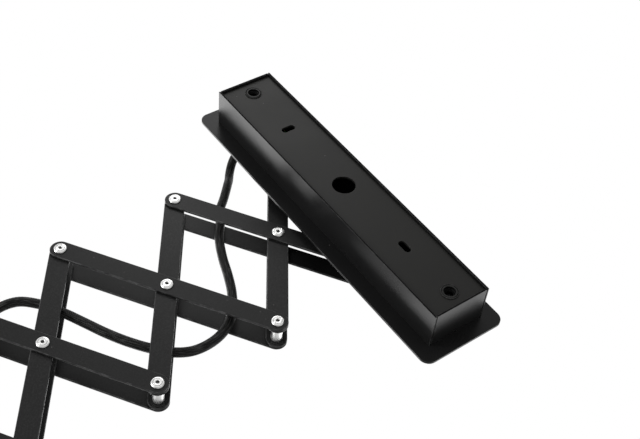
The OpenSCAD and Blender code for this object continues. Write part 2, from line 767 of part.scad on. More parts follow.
module lamp_holder() {
    flange_r = cap_d / 2 - cap_t - 0.3;
    boss_top_z = cap_top_z - neck_in / 2;
    thread_top_z = shade_top_z - shade_t - ring_h - 3;
    color(plastic_black) translate([front_x, axis_y, 0]) difference() {
        union() {
            translate([0, 0, holder_bottom_z])
                cylinder(r = holder_d / 2, h = holder_top_z - holder_bottom_z);
            translate([0, 0, shade_top_z + seat]) cylinder(r = flange_r, h = 2);
            translate([0, 0, holder_top_z]) cylinder(r = boss_d / 2, h = boss_top_z - holder_top_z);
            for (z = [holder_bottom_z + 2:2.5:thread_top_z])
                translate([0, 0, z]) cylinder(r = holder_d / 2 + 0.5, h = 1.2);
        }
        translate([0, 0, cap_top_z - neck_in]) cylinder(r = neck_d / 2 + run, h = neck_in);
        translate([0, 0, holder_bottom_z - cut])
            cylinder(r = bulb_screw_d / 2 + 0.25, h = cut + shell_l - 1 + seat);
    }
}

// Outline of the dome, a quarter of an ellipse, at a wall offset
function dome(offset) = [for (a = [0:7.5:82.5]) [
    shade_top_d / 2 + (shade_d / 2 - shade_top_d / 2 - offset) * sin(a),
    -offset - (shade_h - offset) * (1 - cos(a))
]];

module shade() {
    hole = holder_d / 2 + run;
    inner = dome(shade_t);
    bead_r = rim_bead_d / 2;
    bead = [for (a = [60:-30:-240])
        [shade_d / 2 - bead_r + bead_r * cos(a), bead_r - shade_h + bead_r * sin(a)]];
    color(black) translate([front_x, axis_y, shade_top_z]) rotate_extrude() polygon(concat(
        [[hole, 0]], dome(0), bead, [for (i = [len(inner) - 1:-1:0]) inner[i]], [[hole, -shade_t]]));
}

module shade_ring() {
    ring_z = shade_top_z - shade_t - seat - ring_h;
    color(plastic_black) translate([front_x, axis_y, ring_z]) difference() {
        union() {
            cylinder(r = holder_d / 2 + 4.5, h = ring_h);
            for (a = [0:30:330]) rotate([0, 0, a]) translate([holder_d / 2 + 3.5, -1.5, 0])
                cube([2, 3, ring_h]);
        }
        translate([0, 0, -cut]) cylinder(r = holder_d / 2 + run, h = ring_h + 2 * cut);
    }
}

module bulb_cap() {
    color(zinc) translate([front_x, axis_y, bulb_top_z]) rotate_extrude() polygon([
        [0, 0], [bulb_screw_d / 2, 0], [bulb_screw_d / 2, 1.5],
        for (i = [0:thread_turns - 1]) let (z = 1.5 + thread_pitch * i) each [
            [bulb_screw_d / 2 - 0.7, z + (thread_pitch - 1) / 2],
            [bulb_screw_d / 2 - 0.7, z + (thread_pitch + 0.6) / 2],
            [bulb_screw_d / 2, z + thread_pitch - 0.3], [bulb_screw_d / 2, z + thread_pitch + 0.3]
        ],
        [bulb_screw_d / 2 - 1, shell_l - 4.4], [4.5, shell_l - 2.5], [4, shell_l - 1],
        [2.4, shell_l], [0, shell_l]
    ]);
}

module bulb_globe() {
    r = bulb_d / 2;
    color(glass) translate([front_x, axis_y, bulb_top_z]) rotate_extrude() polygon([
        [0, 0], [7.4, 0], [8, -1.5],
        for (a = [60:-7.5:-90]) [r * cos(a), r * sin(a) - r - 3]
    ]);
}

wall_bracket();
bracket_inserts();
wall_box();
face_plate();
cover_screws();
terminal_block();
terminal_screws();
inner_leads();
earth_screw();
cord_gland();
hinge_lug_top();
hinge_lug_bottom();
lug_screws();
hinge_pins();
swing_channel();
falling_bar(1, true);  // falling_bar_1_rear
falling_bar(1, false);  // falling_bar_1_front
rising_bar(1, true);  // rising_bar_1_rear
rising_bar(1, false);  // rising_bar_1_front
falling_bar(2, true);  // falling_bar_2_rear
falling_bar(2, false);  // falling_bar_2_front
rising_bar(2, true);  // rising_bar_2_rear
rising_bar(2, false);  // rising_bar_2_front
falling_bar(3, true);  // falling_bar_3_rear
falling_bar(3, false);  // falling_bar_3_front
rising_bar(3, true);  // rising_bar_3_rear
rising_bar(3, false);  // rising_bar_3_front
falling_bar(4, true);  // falling_bar_4_rear
falling_bar(4, false);  // falling_bar_4_front
rising_bar(4, true);  // rising_bar_4_rear
rising_bar(4, false);  // rising_bar_4_front
pivot_rivets(1);  // pivot_rivets_1
pivot_rivets(2);  // pivot_rivets_2
pivot_rivets(3);  // pivot_rivets_3
pivot_rivets(4);  // pivot_rivets_4
slide_rivet();
end_rivet();
spacer_tubes(1);  // spacer_tubes_1
spacer_tubes(2);  // spacer_tubes_2
spacer_tubes(3);  // spacer_tubes_3
spacer_tubes(4);  // spacer_tubes_4
slide_washers();
end_washers();
front_channel();
tilt_bolt();
tilt_nut();
shade_neck();
holder_cap();
cap_bush();
lamp_holder();
shade();
shade_ring();
bulb_globe();
bulb_cap();
cord_stretch(0);  // cord_wall
cord_stretch(1);  // cord_arm_1
cord_stretch(2);  // cord_arm_2
cord_stretch(3);  // cord_arm_3
cord_stretch(4);  // cord_arm_4
cord_stretch(5);  // cord_drop
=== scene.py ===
"""Finish of an accordion wall lamp: its coats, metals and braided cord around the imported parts."""

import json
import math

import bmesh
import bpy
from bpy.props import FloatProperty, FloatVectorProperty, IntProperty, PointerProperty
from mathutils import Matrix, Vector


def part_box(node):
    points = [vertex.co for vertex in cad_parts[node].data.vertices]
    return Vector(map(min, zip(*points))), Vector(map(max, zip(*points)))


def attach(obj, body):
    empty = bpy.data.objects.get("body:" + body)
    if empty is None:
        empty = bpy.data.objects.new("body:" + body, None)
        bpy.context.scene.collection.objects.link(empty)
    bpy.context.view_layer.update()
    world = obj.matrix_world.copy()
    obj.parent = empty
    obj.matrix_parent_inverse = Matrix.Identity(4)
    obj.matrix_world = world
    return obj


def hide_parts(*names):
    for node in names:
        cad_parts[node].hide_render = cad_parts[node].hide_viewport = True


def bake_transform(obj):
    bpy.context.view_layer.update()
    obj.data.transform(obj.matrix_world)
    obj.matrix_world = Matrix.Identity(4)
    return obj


bl_info = {
    "name": "Accordion wall lamp",
    "version": (1, 0, 0),
    "blender": (4, 5, 0),
    "location": "3D View > Sidebar > Wall lamp",
    "description": "Dresses the parts of an accordion wall lamp and sets up a plain studio",
    "category": "Add Mesh",
}

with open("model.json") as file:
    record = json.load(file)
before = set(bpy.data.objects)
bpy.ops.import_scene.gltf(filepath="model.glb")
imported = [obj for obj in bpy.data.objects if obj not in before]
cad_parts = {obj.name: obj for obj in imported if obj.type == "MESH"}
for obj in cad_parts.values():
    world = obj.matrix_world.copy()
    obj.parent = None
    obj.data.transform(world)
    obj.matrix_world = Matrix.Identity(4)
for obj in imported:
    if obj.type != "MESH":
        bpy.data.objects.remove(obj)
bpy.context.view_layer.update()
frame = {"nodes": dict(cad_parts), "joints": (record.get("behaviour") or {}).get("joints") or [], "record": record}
MM = 0.001
BODIES = frame["record"]["behaviour"]["bodies"]
BODY_OF = {node: body for body, nodes in BODIES.items() for node in nodes}
SLOT_OF = {row["node"]: row["material_slot"] for row in frame["record"]["subparts"]}
PIVOTS = {joint["name"]: Vector(joint["pos_m"]) for joint in frame["joints"]}
STAGES = 4

# Points closer than this are one point
MERGE = 0.002 * MM
# Faces that meet at less than this are one flat face
FLAT = math.radians(0.6)
# Edges sharper than this are rounded
EDGE_ANGLE = math.radians(28)
# Edges sharper than this stay sharp in the shading
CREASE = math.radians(50)
FULL_TURN = 2 * math.pi
SENSOR_WIDTH = 36.0

# Colours that coats and metals are mixed with
# Lighter colour of rounded edges: thinned paint and painted highlight
WORN_HIGHLIGHT = (0.13, 0.13, 0.13, 1.0)
DUST = (0.16, 0.15, 0.15, 1.0)
# Painted shade for the hollows of turned metal
METAL_HOLLOW_SHADE = (0.03, 0.03, 0.03, 1.0)
# The cord's yarn: painted shade between strands, the tops of strands, and lighter lengthwise stripes of yarn tone
# and painted highlight
YARN_GAP_SHADE = (0.0020, 0.0020, 0.0020, 1.0)
YARN_CROWN = (0.0100, 0.0100, 0.0098, 1.0)
YARN_STREAK_HIGHLIGHT = (0.0480, 0.0480, 0.0465, 1.0)
LEAD_GREEN = (0.05, 0.25, 0.04)
LEAD_YELLOW = (0.62, 0.52, 0.03)


# Settings


class LampStudio(bpy.types.PropertyGroup):
    """Camera, ground and light"""

    camera_place: FloatVectorProperty(
        name="Camera place", description="Where the camera stands",
        default=(0.40223, 0.58758, -0.44731), subtype="TRANSLATION", unit="LENGTH", precision=5)
    camera_heading: FloatVectorProperty(
        name="Camera heading", description="Direction in which the camera looks",
        default=(-0.44810, -0.72394, 0.52451), subtype="DIRECTION", precision=5)
    camera_up: FloatVectorProperty(
        name="Camera up", description="Direction of the top of the picture",
        default=(-0.38231, 0.68553, 0.61958), subtype="DIRECTION", precision=5)
    camera_lens: FloatProperty(
        name="Lens", description="Focal length in millimetres on the sensor's width",
        default=61.5205)
    ground_level: FloatProperty(
        name="Ground", description="Height of the pale ground", default=-1.1, unit="LENGTH")
    ground_size: FloatProperty(
        name="Ground size", description="Side of the square of ground", default=14.0, unit="LENGTH")
    sky_level: FloatProperty(
        name="Sky", description="Strength of the soft light from all round", default=0.55, min=0.0)
    room_power: FloatProperty(
        name="Room light", description="Power of the wide soft light in the room",
        default=14.0, unit="POWER")
    top_power: FloatProperty(
        name="Top card", description="Power of the card above the wall side",
        default=2.6, unit="POWER")
    side_power: FloatProperty(
        name="Side card", description="Power of the card that the right side of the box reflects",
        default=2.4, unit="POWER")
    low_power: FloatProperty(
        name="Low card", description="Power of the card that the lower end of the box reflects",
        default=1.7, unit="POWER")
    corner_power: FloatProperty(
        name="Corner card",
        description="Power of the small card that the lower corner of the box reflects",
        default=0.27, unit="POWER")
    left_power: FloatProperty(
        name="Left light", description="Power of the light at the left of the picture",
        default=5.0, unit="POWER")


class LampFinish(bpy.types.PropertyGroup):
    """Coats, metals and edges"""

    coat_colour: FloatVectorProperty(
        name="Powder coat", description="Colour of the box, plate, channels and lugs",
        default=(0.0085, 0.0085, 0.0086), subtype="COLOR", min=0.0, max=1.0)
    bracket_colour: FloatVectorProperty(
        name="Bracket coat", description="Colour of the wall bracket",
        default=(0.0095, 0.0094, 0.0087), subtype="COLOR", min=0.0, max=1.0)
    bar_colour: FloatVectorProperty(
        name="Bar lacquer", description="Colour of the flat bars",
        default=(0.0052, 0.0052, 0.0052), subtype="COLOR", min=0.0, max=1.0)
    zinc_colour: FloatVectorProperty(
        name="Zinc", description="Colour of the bright rivets and pins",
        default=(0.78, 0.78, 0.77), subtype="COLOR", min=0.0, max=1.0)
    enamel_colour: FloatVectorProperty(
        name="Enamel", description="Colour inside the shade",
        default=(0.80, 0.79, 0.76), subtype="COLOR", min=0.0, max=1.0)
    sheet_edge: FloatProperty(
        name="Sheet edge", description="Width of the rounded edges of folded sheet",
        default=0.18 * MM, unit="LENGTH", precision=5)
    bar_edge: FloatProperty(
        name="Bar edge", description="Width of the rounding along the chamfers of the bars",
        default=0.12 * MM, unit="LENGTH", precision=5)
    small_edge: FloatProperty(
        name="Small edge", description="Width of the rounded edges of screws and small parts",
        default=0.10 * MM, unit="LENGTH", precision=5)
    round_steps: IntProperty(
        name="Turned steps", description="Steps round a turned piece", default=64, min=16, max=128)


class LampCord(bpy.types.PropertyGroup):
    """Braided cord"""

    diameter: FloatProperty(
        name="Diameter", description="Outer diameter of the cord", default=7.5 * MM, unit="LENGTH")
    ring_step: FloatProperty(
        name="Ring step", description="Distance between rings of the mesh",
        default=0.4 * MM, unit="LENGTH", precision=5)
    sides: IntProperty(
        name="Sides", description="Corners of each ring", default=72, min=24, max=96)
    strands: IntProperty(
        name="Strands", description="Strands that wind in each direction",
        default=12, min=6, max=24)
    lay: FloatProperty(
        name="Lay", description="Length of cord in which a strand goes round once",
        default=24.0 * MM, unit="LENGTH")
    relief: FloatProperty(
        name="Relief", description="Depth of the braid",
        default=0.14 * MM, unit="LENGTH", precision=5)


# Shader nodes


def add(tree, kind, inputs=None, **settings):
    """Adds a shader node, sets it up and joins or fills its inputs"""
    node = tree.nodes.new("ShaderNode" + kind)
    for name, value in settings.items():
        setattr(node, name, value)
    for key, value in (inputs or {}).items():
        if isinstance(value, bpy.types.NodeSocket):
            tree.links.new(value, node.inputs[key])
        else:
            node.inputs[key].default_value = value
    return node


def maths(tree, operation, first, second=0.0):
    return add(tree, "Math", {0: first, 1: second}, operation=operation).outputs[0]


def mixed(tree, factor, first, second):
    """Mixes two colours"""
    node = add(tree, "Mix", data_type="RGBA")
    for key, value in ((0, factor), (6, first), (7, second)):
        if isinstance(value, bpy.types.NodeSocket):
            tree.links.new(value, node.inputs[key])
        else:
            node.inputs[key].default_value = value
    return node.outputs[2]


def ranged(tree, value, low, high, to_low, to_high):
    """Carries a value from the range low..high to the range to_low..to_high"""
    return add(tree, "MapRange", {
        "Value": value, "From Min": low, "From Max": high,
        "To Min": to_low, "To Max": to_high}).outputs["Result"]


def noise(tree, where, size, detail=2.0, stretch=None):
    """Noise whose features are about size across, with the axes scaled by stretch if it is given"""
    if stretch:
        where = add(tree, "Mapping", {"Vector": where, "Scale": stretch}).outputs["Vector"]
    return add(tree, "TexNoise", {
        "Vector": where, "Scale": 1 / size, "Detail": detail}).outputs["Fac"]


def bump(tree, height, depth, normal=None):
    """Bump with a depth in metres"""
    inputs = {"Height": height, "Distance": depth, "Strength": 1.0}
    if normal is not None:
        inputs["Normal"] = normal
    return add(tree, "Bump", inputs).outputs["Normal"]


def tone(colour, share=1.0):
    """A share of a colour, opaque"""
    return (colour[0] * share, colour[1] * share, colour[2] * share, 1.0)


def start_finish(name, constants):
    """A new material, its tree, its shader and the piece's own coordinates"""
    material = bpy.data.materials.new(name)
    material.use_nodes = True
    tree = material.node_tree
    shader = tree.nodes["Principled BSDF"]
    for socket, value in constants.items():
        shader.inputs[socket].default_value = value
    where = tree.nodes.new("ShaderNodeTexCoord").outputs["Object"]
    return material, tree, shader, where


def specks(tree, where, spacing, share, radius):
    """1 on sparse specks of dust; share is how many cells of the spacing's size hold one"""
    cells = add(tree, "TexVoronoi", {"Vector": where, "Scale": 1 / spacing})
    near = maths(tree, "LESS_THAN", cells.outputs["Distance"], radius / spacing)
    chosen = add(tree, "SeparateColor", {"Color": cells.outputs["Color"]}).outputs[0]
    return maths(tree, "MULTIPLY", near, maths(tree, "LESS_THAN", chosen, share))


def join_shader(tree, shader, colour, roughness, normal):
    """Joins the three outputs of a finish to its shader"""
    tree.links.new(colour, shader.inputs["Base Color"])
    tree.links.new(roughness, shader.inputs["Roughness"])
    tree.links.new(normal, shader.inputs["Normal"])


# Sizes of what shows in a black coat
CLOUD_SIZE = 45 * MM
GRAIN_SIZE = 0.35 * MM
MOTTLE_SIZE = 0.8 * MM
WEAR_SIZE = 6 * MM
DUST_SPACING = 7 * MM
DUST_RADIUS = 0.32 * MM


def painted(name, colour, roughness, gloss, peel, depth, dust=0.0, wear_highlight=0.5, mottle=0.0):
    """A black coat: cloudy tone, orange peel, mottling, dust, and rounded edges lighter in patches, partly thinned
    paint and partly painted highlight
    """
    material, tree, shader, where = start_finish(name, {"Specular IOR Level": gloss})
    cloud = noise(tree, where, CLOUD_SIZE, 3.0)
    grain = noise(tree, where, GRAIN_SIZE)
    peeled = noise(tree, where, peel)
    colour_now = mixed(tree, cloud, tone(colour, 0.78), tone(colour, 1.25))
    colour_now = mixed(tree, maths(tree, "MULTIPLY", grain, 0.35), colour_now, tone(colour, 1.9))
    if mottle:
        patches = ranged(tree, noise(tree, where, MOTTLE_SIZE), 0.45, 0.68, 0.0, mottle)
        colour_now = mixed(tree, patches, colour_now, tone(colour, 3.0))
    # Rounded edges get a lighter colour in patches: thinned paint and painted highlight
    worn = add(tree, "Attribute", attribute_name="worn").outputs["Fac"]
    patchy = ranged(tree, noise(tree, where, WEAR_SIZE, 3.0), 0.42, 0.66, 0.15, 1.0)
    rubbed_highlight = maths(tree, "MULTIPLY", maths(tree, "MULTIPLY", worn, patchy), wear_highlight)
    colour_now = mixed(tree, rubbed_highlight, colour_now, WORN_HIGHLIGHT)
    if dust:
        dusty = specks(tree, where, DUST_SPACING, dust, DUST_RADIUS)
        colour_now = mixed(tree, maths(tree, "MULTIPLY", dusty, 0.7), colour_now, DUST)
    rough = ranged(tree, cloud, 0.3, 0.7, roughness - 0.03, roughness + 0.05)
    height = maths(tree, "ADD", peeled, maths(tree, "MULTIPLY", grain, 0.25))
    join_shader(tree, shader, colour_now, rough, bump(tree, height, depth))
    return material


def bright_metal(name, colour, roughness, ring_pitch, dull=0.82, hollows=()):
    """Metal with fine turned rings; each hollow gets a band of painted shade: its radius, half width and depth"""
    material, tree, shader, where = start_finish(name, {"Metallic": 1.0})
    cloud = noise(tree, where, 3 * MM, 3.0)
    radius = add(tree, "Attribute", attribute_name="turned").outputs["Fac"]
    wave = maths(tree, "SINE", maths(tree, "MULTIPLY", radius, FULL_TURN / ring_pitch))
    colour_now = mixed(tree, cloud, tone(colour, dull), tone(colour))
    # Each hollow is painted as a band of shade
    for middle, half, depth in hollows:
        away = maths(tree, "ABSOLUTE", maths(tree, "SUBTRACT", radius, middle))
        painted_shade_mask = ranged(tree, away, 0.4 * half, half, depth, 0.0)
        colour_now = mixed(tree, painted_shade_mask, colour_now, METAL_HOLLOW_SHADE)
    rough = maths(tree, "ADD", ranged(tree, cloud, 0.35, 0.65, roughness - 0.05, roughness + 0.07),
                  maths(tree, "MULTIPLY", wave, 0.02))
    fine = noise(tree, where, 0.5 * MM)
    height = maths(tree, "ADD", maths(tree, "MULTIPLY", wave, 0.5), fine)
    join_shader(tree, shader, colour_now, rough, bump(tree, height, 0.004 * MM))
    return material


def moulded(name, colour, roughness, gloss, grain_size, depth):
    """Plastic or rubber with the fine grain of its mould"""
    material, tree, shader, where = start_finish(name, {"Specular IOR Level": gloss})
    cloud = noise(tree, where, 9 * MM, 3.0)
    grain = noise(tree, where, grain_size, 3.0)
    colour_now = mixed(tree, cloud, tone(colour, 0.85), tone(colour, 1.15))
    rough = ranged(tree, grain, 0.3, 0.7, roughness - 0.05, roughness + 0.06)
    join_shader(tree, shader, colour_now, rough, bump(tree, grain, depth))
    return material


def black_coat():
    return painted("Satin black coat", bpy.context.scene.lamp_finish.coat_colour, 0.29, 0.125,
                   0.9 * MM, 0.012 * MM, dust=0.05)


def bracket_black():
    return painted("Bracket coat", bpy.context.scene.lamp_finish.bracket_colour, 0.42, 0.14,
                   0.7 * MM, 0.012 * MM, dust=0.06)


def bar_black():
    return painted("Bar lacquer", bpy.context.scene.lamp_finish.bar_colour, 0.38, 0.155,
                   0.6 * MM, 0.010 * MM, dust=0.35, wear_highlight=1.0, mottle=0.9)


def screw_black():
    return painted("Black oxide", (0.014, 0.014, 0.015), 0.38, 0.5, 0.4 * MM, 0.006 * MM)


def head_coat():
    return painted("Shade coat", bpy.context.scene.lamp_finish.coat_colour, 0.32, 0.30,
                   0.9 * MM, 0.012 * MM, dust=0.03)


def zinc():
    return bright_metal("Bright zinc", bpy.context.scene.lamp_finish.zinc_colour, 0.24, 0.22 * MM)


def rivet_zinc():
    """Zinc with painted shade in the dimple and the ring of a head and round its outer edge"""
    return bright_metal("Rivet zinc", bpy.context.scene.lamp_finish.zinc_colour, 0.22, 0.22 * MM,
                        hollows=((0.0, 1.6 * MM, 0.95), (3.25 * MM, 0.45 * MM, 0.35),
                                 (5.0 * MM, 0.3 * MM, 0.5)))


def painted_shade_coat():
    """Painted shade: a dull, nearly black coat for the rim at the mouth of the box and the hollows of the inserts
    """
    return painted("Cut rim", (0.0035, 0.0035, 0.0035), 0.6, 0.03, 0.4 * MM, 0.01 * MM)


def tube_zinc():
    return bright_metal("Turned tube", (0.93, 0.93, 0.92), 0.34, 0.30 * MM, 0.95)


def terminal_brass():
    return bright_metal("Brass", (0.66, 0.48, 0.20), 0.30, 0.2 * MM)


def bulb_shell():
    return bright_metal("Rolled aluminium", (0.80, 0.80, 0.81), 0.28, 0.25 * MM)


def terminal_plastic():
    return moulded("Pale plastic", (0.72, 0.70, 0.64), 0.45, 0.45, 0.3 * MM, 0.01 * MM)


def black_plastic():
    return moulded("Black plastic", (0.013, 0.013, 0.014), 0.40, 0.4, 0.35 * MM, 0.02 * MM)


def black_rubber():
    return moulded("Black rubber", (0.011, 0.011, 0.011), 0.62, 0.35, 0.5 * MM, 0.03 * MM)


def lead_brown():
    return moulded("Brown lead", (0.10, 0.038, 0.018), 0.32, 0.5, 1.5 * MM, 0.01 * MM)


def lead_blue():
    return moulded("Blue lead", (0.018, 0.085, 0.32), 0.32, 0.5, 1.5 * MM, 0.01 * MM)


def lead_earth():
    """Green insulation with a yellow stripe that winds slowly round it"""
    material = moulded("Earth lead", LEAD_GREEN, 0.32, 0.5, 1.5 * MM, 0.01 * MM)
    tree = material.node_tree
    shader = tree.nodes["Principled BSDF"]
    where = add(tree, "TexCoord").outputs["Object"]
    bands = add(tree, "TexWave", {"Vector": where, "Scale": 0.35 / (4 * MM), "Distortion": 1.2},
                bands_direction="DIAGONAL").outputs["Fac"]
    stripe = maths(tree, "GREATER_THAN", bands, 0.55)
    colour_now = mixed(tree, stripe, tone(LEAD_GREEN), tone(LEAD_YELLOW))
    tree.links.new(colour_now, shader.inputs["Base Color"])
    return material


def enamel():
    return moulded("White enamel", bpy.context.scene.lamp_finish.enamel_colour, 0.34, 0.5,
                   0.9 * MM, 0.015 * MM)


def bulb_glass():
    """Opal glass with a faint cloud in it and a smooth skin"""
    material, tree, shader, where = start_finish(
        "Opal glass", {"Coat Weight": 0.5, "Coat Roughness": 0.05})
    cloud = noise(tree, where, 11 * MM, 3.0)
    colour_now = mixed(tree, cloud, tone((0.84, 0.82, 0.76)), tone((0.90, 0.89, 0.84)))
    rough = ranged(tree, cloud, 0.3, 0.7, 0.22, 0.28)
    join_shader(tree, shader, colour_now, rough, bump(tree, cloud, 0.01 * MM))
    return material


def cord_fabric():
    """Black yarn with painted shade between its strands and lighter lengthwise stripes, partly yarn tone and
    partly painted highlight; the map cord_map holds the length in metres and the turn round the cord
    """
    cord = bpy.context.scene.lamp_cord
    material, tree, shader, _ = start_finish("Braided cord", {"Specular IOR Level": 0.07})
    place = add(tree, "UVMap", uv_map="cord_map").outputs["UV"]
    split = add(tree, "SeparateXYZ", {"Vector": place})
    slide = maths(tree, "DIVIDE", split.outputs["X"], cord.lay)
    turn = split.outputs["Y"]
    ribs = []
    for operation in ("ADD", "SUBTRACT"):
        across = maths(tree, "MULTIPLY", maths(tree, operation, turn, slide), float(cord.strands))
        wave = maths(tree, "SINE", maths(tree, "MULTIPLY", across, math.pi))
        ribs.append((across, maths(tree, "ABSOLUTE", wave)))
    cell = maths(tree, "ADD", maths(tree, "FLOOR", ribs[0][0]), maths(tree, "FLOOR", ribs[1][0]))
    odd = maths(tree, "ABSOLUTE", maths(tree, "MODULO", cell, 2.0))
    yarn = add(tree, "Mix", {0: odd, 2: ribs[0][1], 3: ribs[1][1]}).outputs[0]
    fibres = noise(tree, place, 1.0, stretch=(2500.0, 140.0, 1.0))
    highlight_streaks = noise(tree, place, 1.0, stretch=(110.0, 40.0, 1.0))
    # Painted shade between strands; lighter stripes along the cord are yarn tone and painted highlight
    colour_now = mixed(tree, yarn, YARN_GAP_SHADE, YARN_CROWN)
    colour_now = mixed(tree, ranged(tree, highlight_streaks, 0.50, 0.66, 0.0, 1.0), colour_now, YARN_STREAK_HIGHLIGHT)
    rough = ranged(tree, fibres, 0.3, 0.7, 0.28, 0.42)
    height = maths(tree, "ADD", yarn, maths(tree, "MULTIPLY", fibres, 0.5))
    join_shader(tree, shader, colour_now, rough, bump(tree, height, 0.05 * MM))
    return material


MADE = {}


def finish(maker):
    """The material that a maker makes, made once"""
    if maker not in MADE:
        MADE[maker] = maker()
    return MADE[maker]


FINISHES = {
    "black_coat": black_coat, "bracket_black": bracket_black, "bar_black": bar_black,
    "screw_black": screw_black, "zinc": zinc, "tube_zinc": tube_zinc,
    "terminal_plastic": terminal_plastic, "terminal_brass": terminal_brass,
    "black_rubber": black_rubber, "black_plastic": black_plastic, "head_coat": head_coat,
    "bulb_glass": bulb_glass, "bulb_shell": bulb_shell, "cord_fabric": cord_fabric,
}


# Pieces


def placed(name, bm, materials):
    """Makes an object of a finished mesh, smooth but for its creases"""
    mesh = bpy.data.meshes.new(name)
    bm.to_mesh(mesh)
    bm.free()
    mesh.shade_smooth()
    mesh.set_sharp_from_angle(angle=CREASE)
    for maker in materials:
        mesh.materials.append(finish(maker))
    piece = bpy.data.objects.new(name, mesh)
    bpy.context.scene.collection.objects.link(piece)
    return piece


def stands_for(piece, node):
    """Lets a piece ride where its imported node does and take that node's place"""
    even = piece.modifiers.new("Even shading", "WEIGHTED_NORMAL")
    even.keep_sharp = True
    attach(piece, BODY_OF[node])
    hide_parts(node)
    return piece


def merged_copy(node):
    """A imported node's mesh with its loose triangles joined into flat faces"""
    bm = bmesh.new()
    bm.from_mesh(frame["nodes"][node].data)
    bmesh.ops.remove_doubles(bm, verts=bm.verts, dist=MERGE)
    bmesh.ops.dissolve_limit(bm, angle_limit=FLAT, verts=bm.verts, edges=bm.edges)
    return bm


def round_edges(bm, width, lowest=EDGE_ANGLE):
    """Rounds every sharp edge and marks the rounding for its lighter colour: thinned paint and painted highlight
    """
    worn = bm.faces.layers.float.new("worn")
    sharp = [edge for edge in bm.edges
             if len(edge.link_faces) == 2 and edge.calc_face_angle() > lowest]
    rounded = bmesh.ops.bevel(bm, geom=sharp, offset=width, offset_type="OFFSET", affect="EDGES",
                              segments=2, profile=0.5, material=-1, clamp_overlap=False)
    for face in rounded["faces"]:
        face[worn] = 1.0


def dressed(node, width, painted_shade_mask=None):
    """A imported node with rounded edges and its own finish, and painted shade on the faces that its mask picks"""
    bm = merged_copy(node)
    bmesh.ops.dissolve_degenerate(bm, dist=width / 2, edges=bm.edges)
    round_edges(bm, width)
    makers = [FINISHES[SLOT_OF[node]]]
    # Faces that the mask picks get painted shade
    if painted_shade_mask:
        makers.append(painted_shade_coat)
        for face in bm.faces:
            face.material_index = int(painted_shade_mask(face.calc_center_median(), face.normal))
    return stands_for(placed(node + "_finish", bm, makers), node)


# The largest share of an edge that the rounding of one corner may take
CORNER_SHARE = 0.45


def filleted(profile, radius, cuts=3):
    """An open outline of (radius, height) points with its corners rounded"""
    points = [Vector(p) for p in profile]
    result = [points[0]]
    for before, corner, after in zip(points, points[1:], points[2:]):
        reach = min(radius, CORNER_SHARE * (before - corner).length,
                    CORNER_SHARE * (after - corner).length)
        start = corner + (before - corner).normalized() * reach
        end = corner + (after - corner).normalized() * reach
        for step in range(cuts + 1):
            t = step / cuts
            result.append(start * (1 - t) ** 2 + corner * 2 * t * (1 - t) + end * t ** 2)
    return result + [points[-1]]


def turned(bm, profile, centre, axis, steps, material=0):
    """Spins an outline of (radius, height) points round an axis through centre"""
    out = axis.orthogonal().normalized()
    ring = bm.verts.layers.float.get("turned") or bm.verts.layers.float.new("turned")
    corners = [bm.verts.new(centre + out * r + axis * h) for r, h in profile]
    edges = [bm.edges.new(pair) for pair in zip(corners, corners[1:])]
    old = set(bm.faces)
    bmesh.ops.spin(bm, geom=corners + edges, cent=centre, axis=axis, angle=FULL_TURN,
                   steps=steps, use_merge=True)
    fresh = [face for face in bm.faces if face not in old]
    for face in fresh:
        face.material_index = material
        for vert in face.verts:
            offset = vert.co - centre
            vert[ring] = (offset - axis * offset.dot(axis)).length
    return fresh


def closed(bm):
    """Joins the seams and poles of turned shapes and points their faces outwards"""
    bmesh.ops.remove_doubles(bm, verts=bm.verts, dist=MERGE)
    bmesh.ops.dissolve_degenerate(bm, dist=MERGE, edges=bm.edges)
    bmesh.ops.recalc_face_normals(bm, faces=bm.faces)
    return bm


def top_middle(node):
    """Middle of the top of a node's box"""
    low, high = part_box(node)
    return Vector(((low.x + high.x) / 2, (low.y + high.y) / 2, high.z))


def pivot_at(number, upper):
    """Middle of a pivot at the top or bottom of the arm, counted from the wall"""
    first, second = PIVOTS["arm_extend"], PIVOTS["upper_pivot_2"]
    height = first.z if upper else PIVOTS["lower_pivot_1"].z
    return Vector(((second.x - first.x) * number / 2, first.y, height))


def middle_of_stage(number):
    return PIVOTS["pivot_stage_%d" % number]


# Cord


# Route of the cord's middle line, from the strain relief to the bush in the holder cap
ROUTE = [
    (0.0155, -0.046, 0.120), (0.0189, -0.0565, 0.1202), (0.0235, -0.0616, 0.1187),
    (0.0335, -0.0669, 0.1089), (0.0354, -0.0666, 0.1062), (0.0434, -0.0619, 0.0962),
    (0.056, -0.0589, 0.0821), (0.068, -0.0574, 0.0699), (0.0766, -0.0535, 0.0551),
    (0.087, -0.05175, 0.040), (0.095, -0.05175, 0.0225), (0.101, -0.05175, 0.0055),
    (0.108, -0.05175, -0.011), (0.118, -0.05175, -0.0265), (0.131, -0.05175, -0.0375),
    (0.146, -0.05175, -0.042), (0.161, -0.05175, -0.041), (0.174, -0.05175, -0.034),
    (0.186, -0.05175, -0.0215), (0.1965, -0.05175, -0.0075), (0.205, -0.05175, 0.0065),
    (0.213, -0.05175, 0.022), (0.222, -0.05175, 0.039), (0.233, -0.05175, 0.0555),
    (0.246, -0.05175, 0.066), (0.261, -0.05175, 0.067), (0.275, -0.05175, 0.058),
    (0.286, -0.05175, 0.043), (0.2955, -0.05175, 0.025), (0.304, -0.05175, 0.006),
    (0.312, -0.05175, -0.013), (0.3205, -0.05175, -0.032), (0.3305, -0.05175, -0.050),
    (0.342, -0.05175, -0.067), (0.354, -0.05175, -0.0825), (0.366, -0.05175, -0.095),
    (0.3762, -0.05175, -0.1036), (0.3834, -0.05175, -0.1112), (0.3872, -0.05175, -0.1183),
]
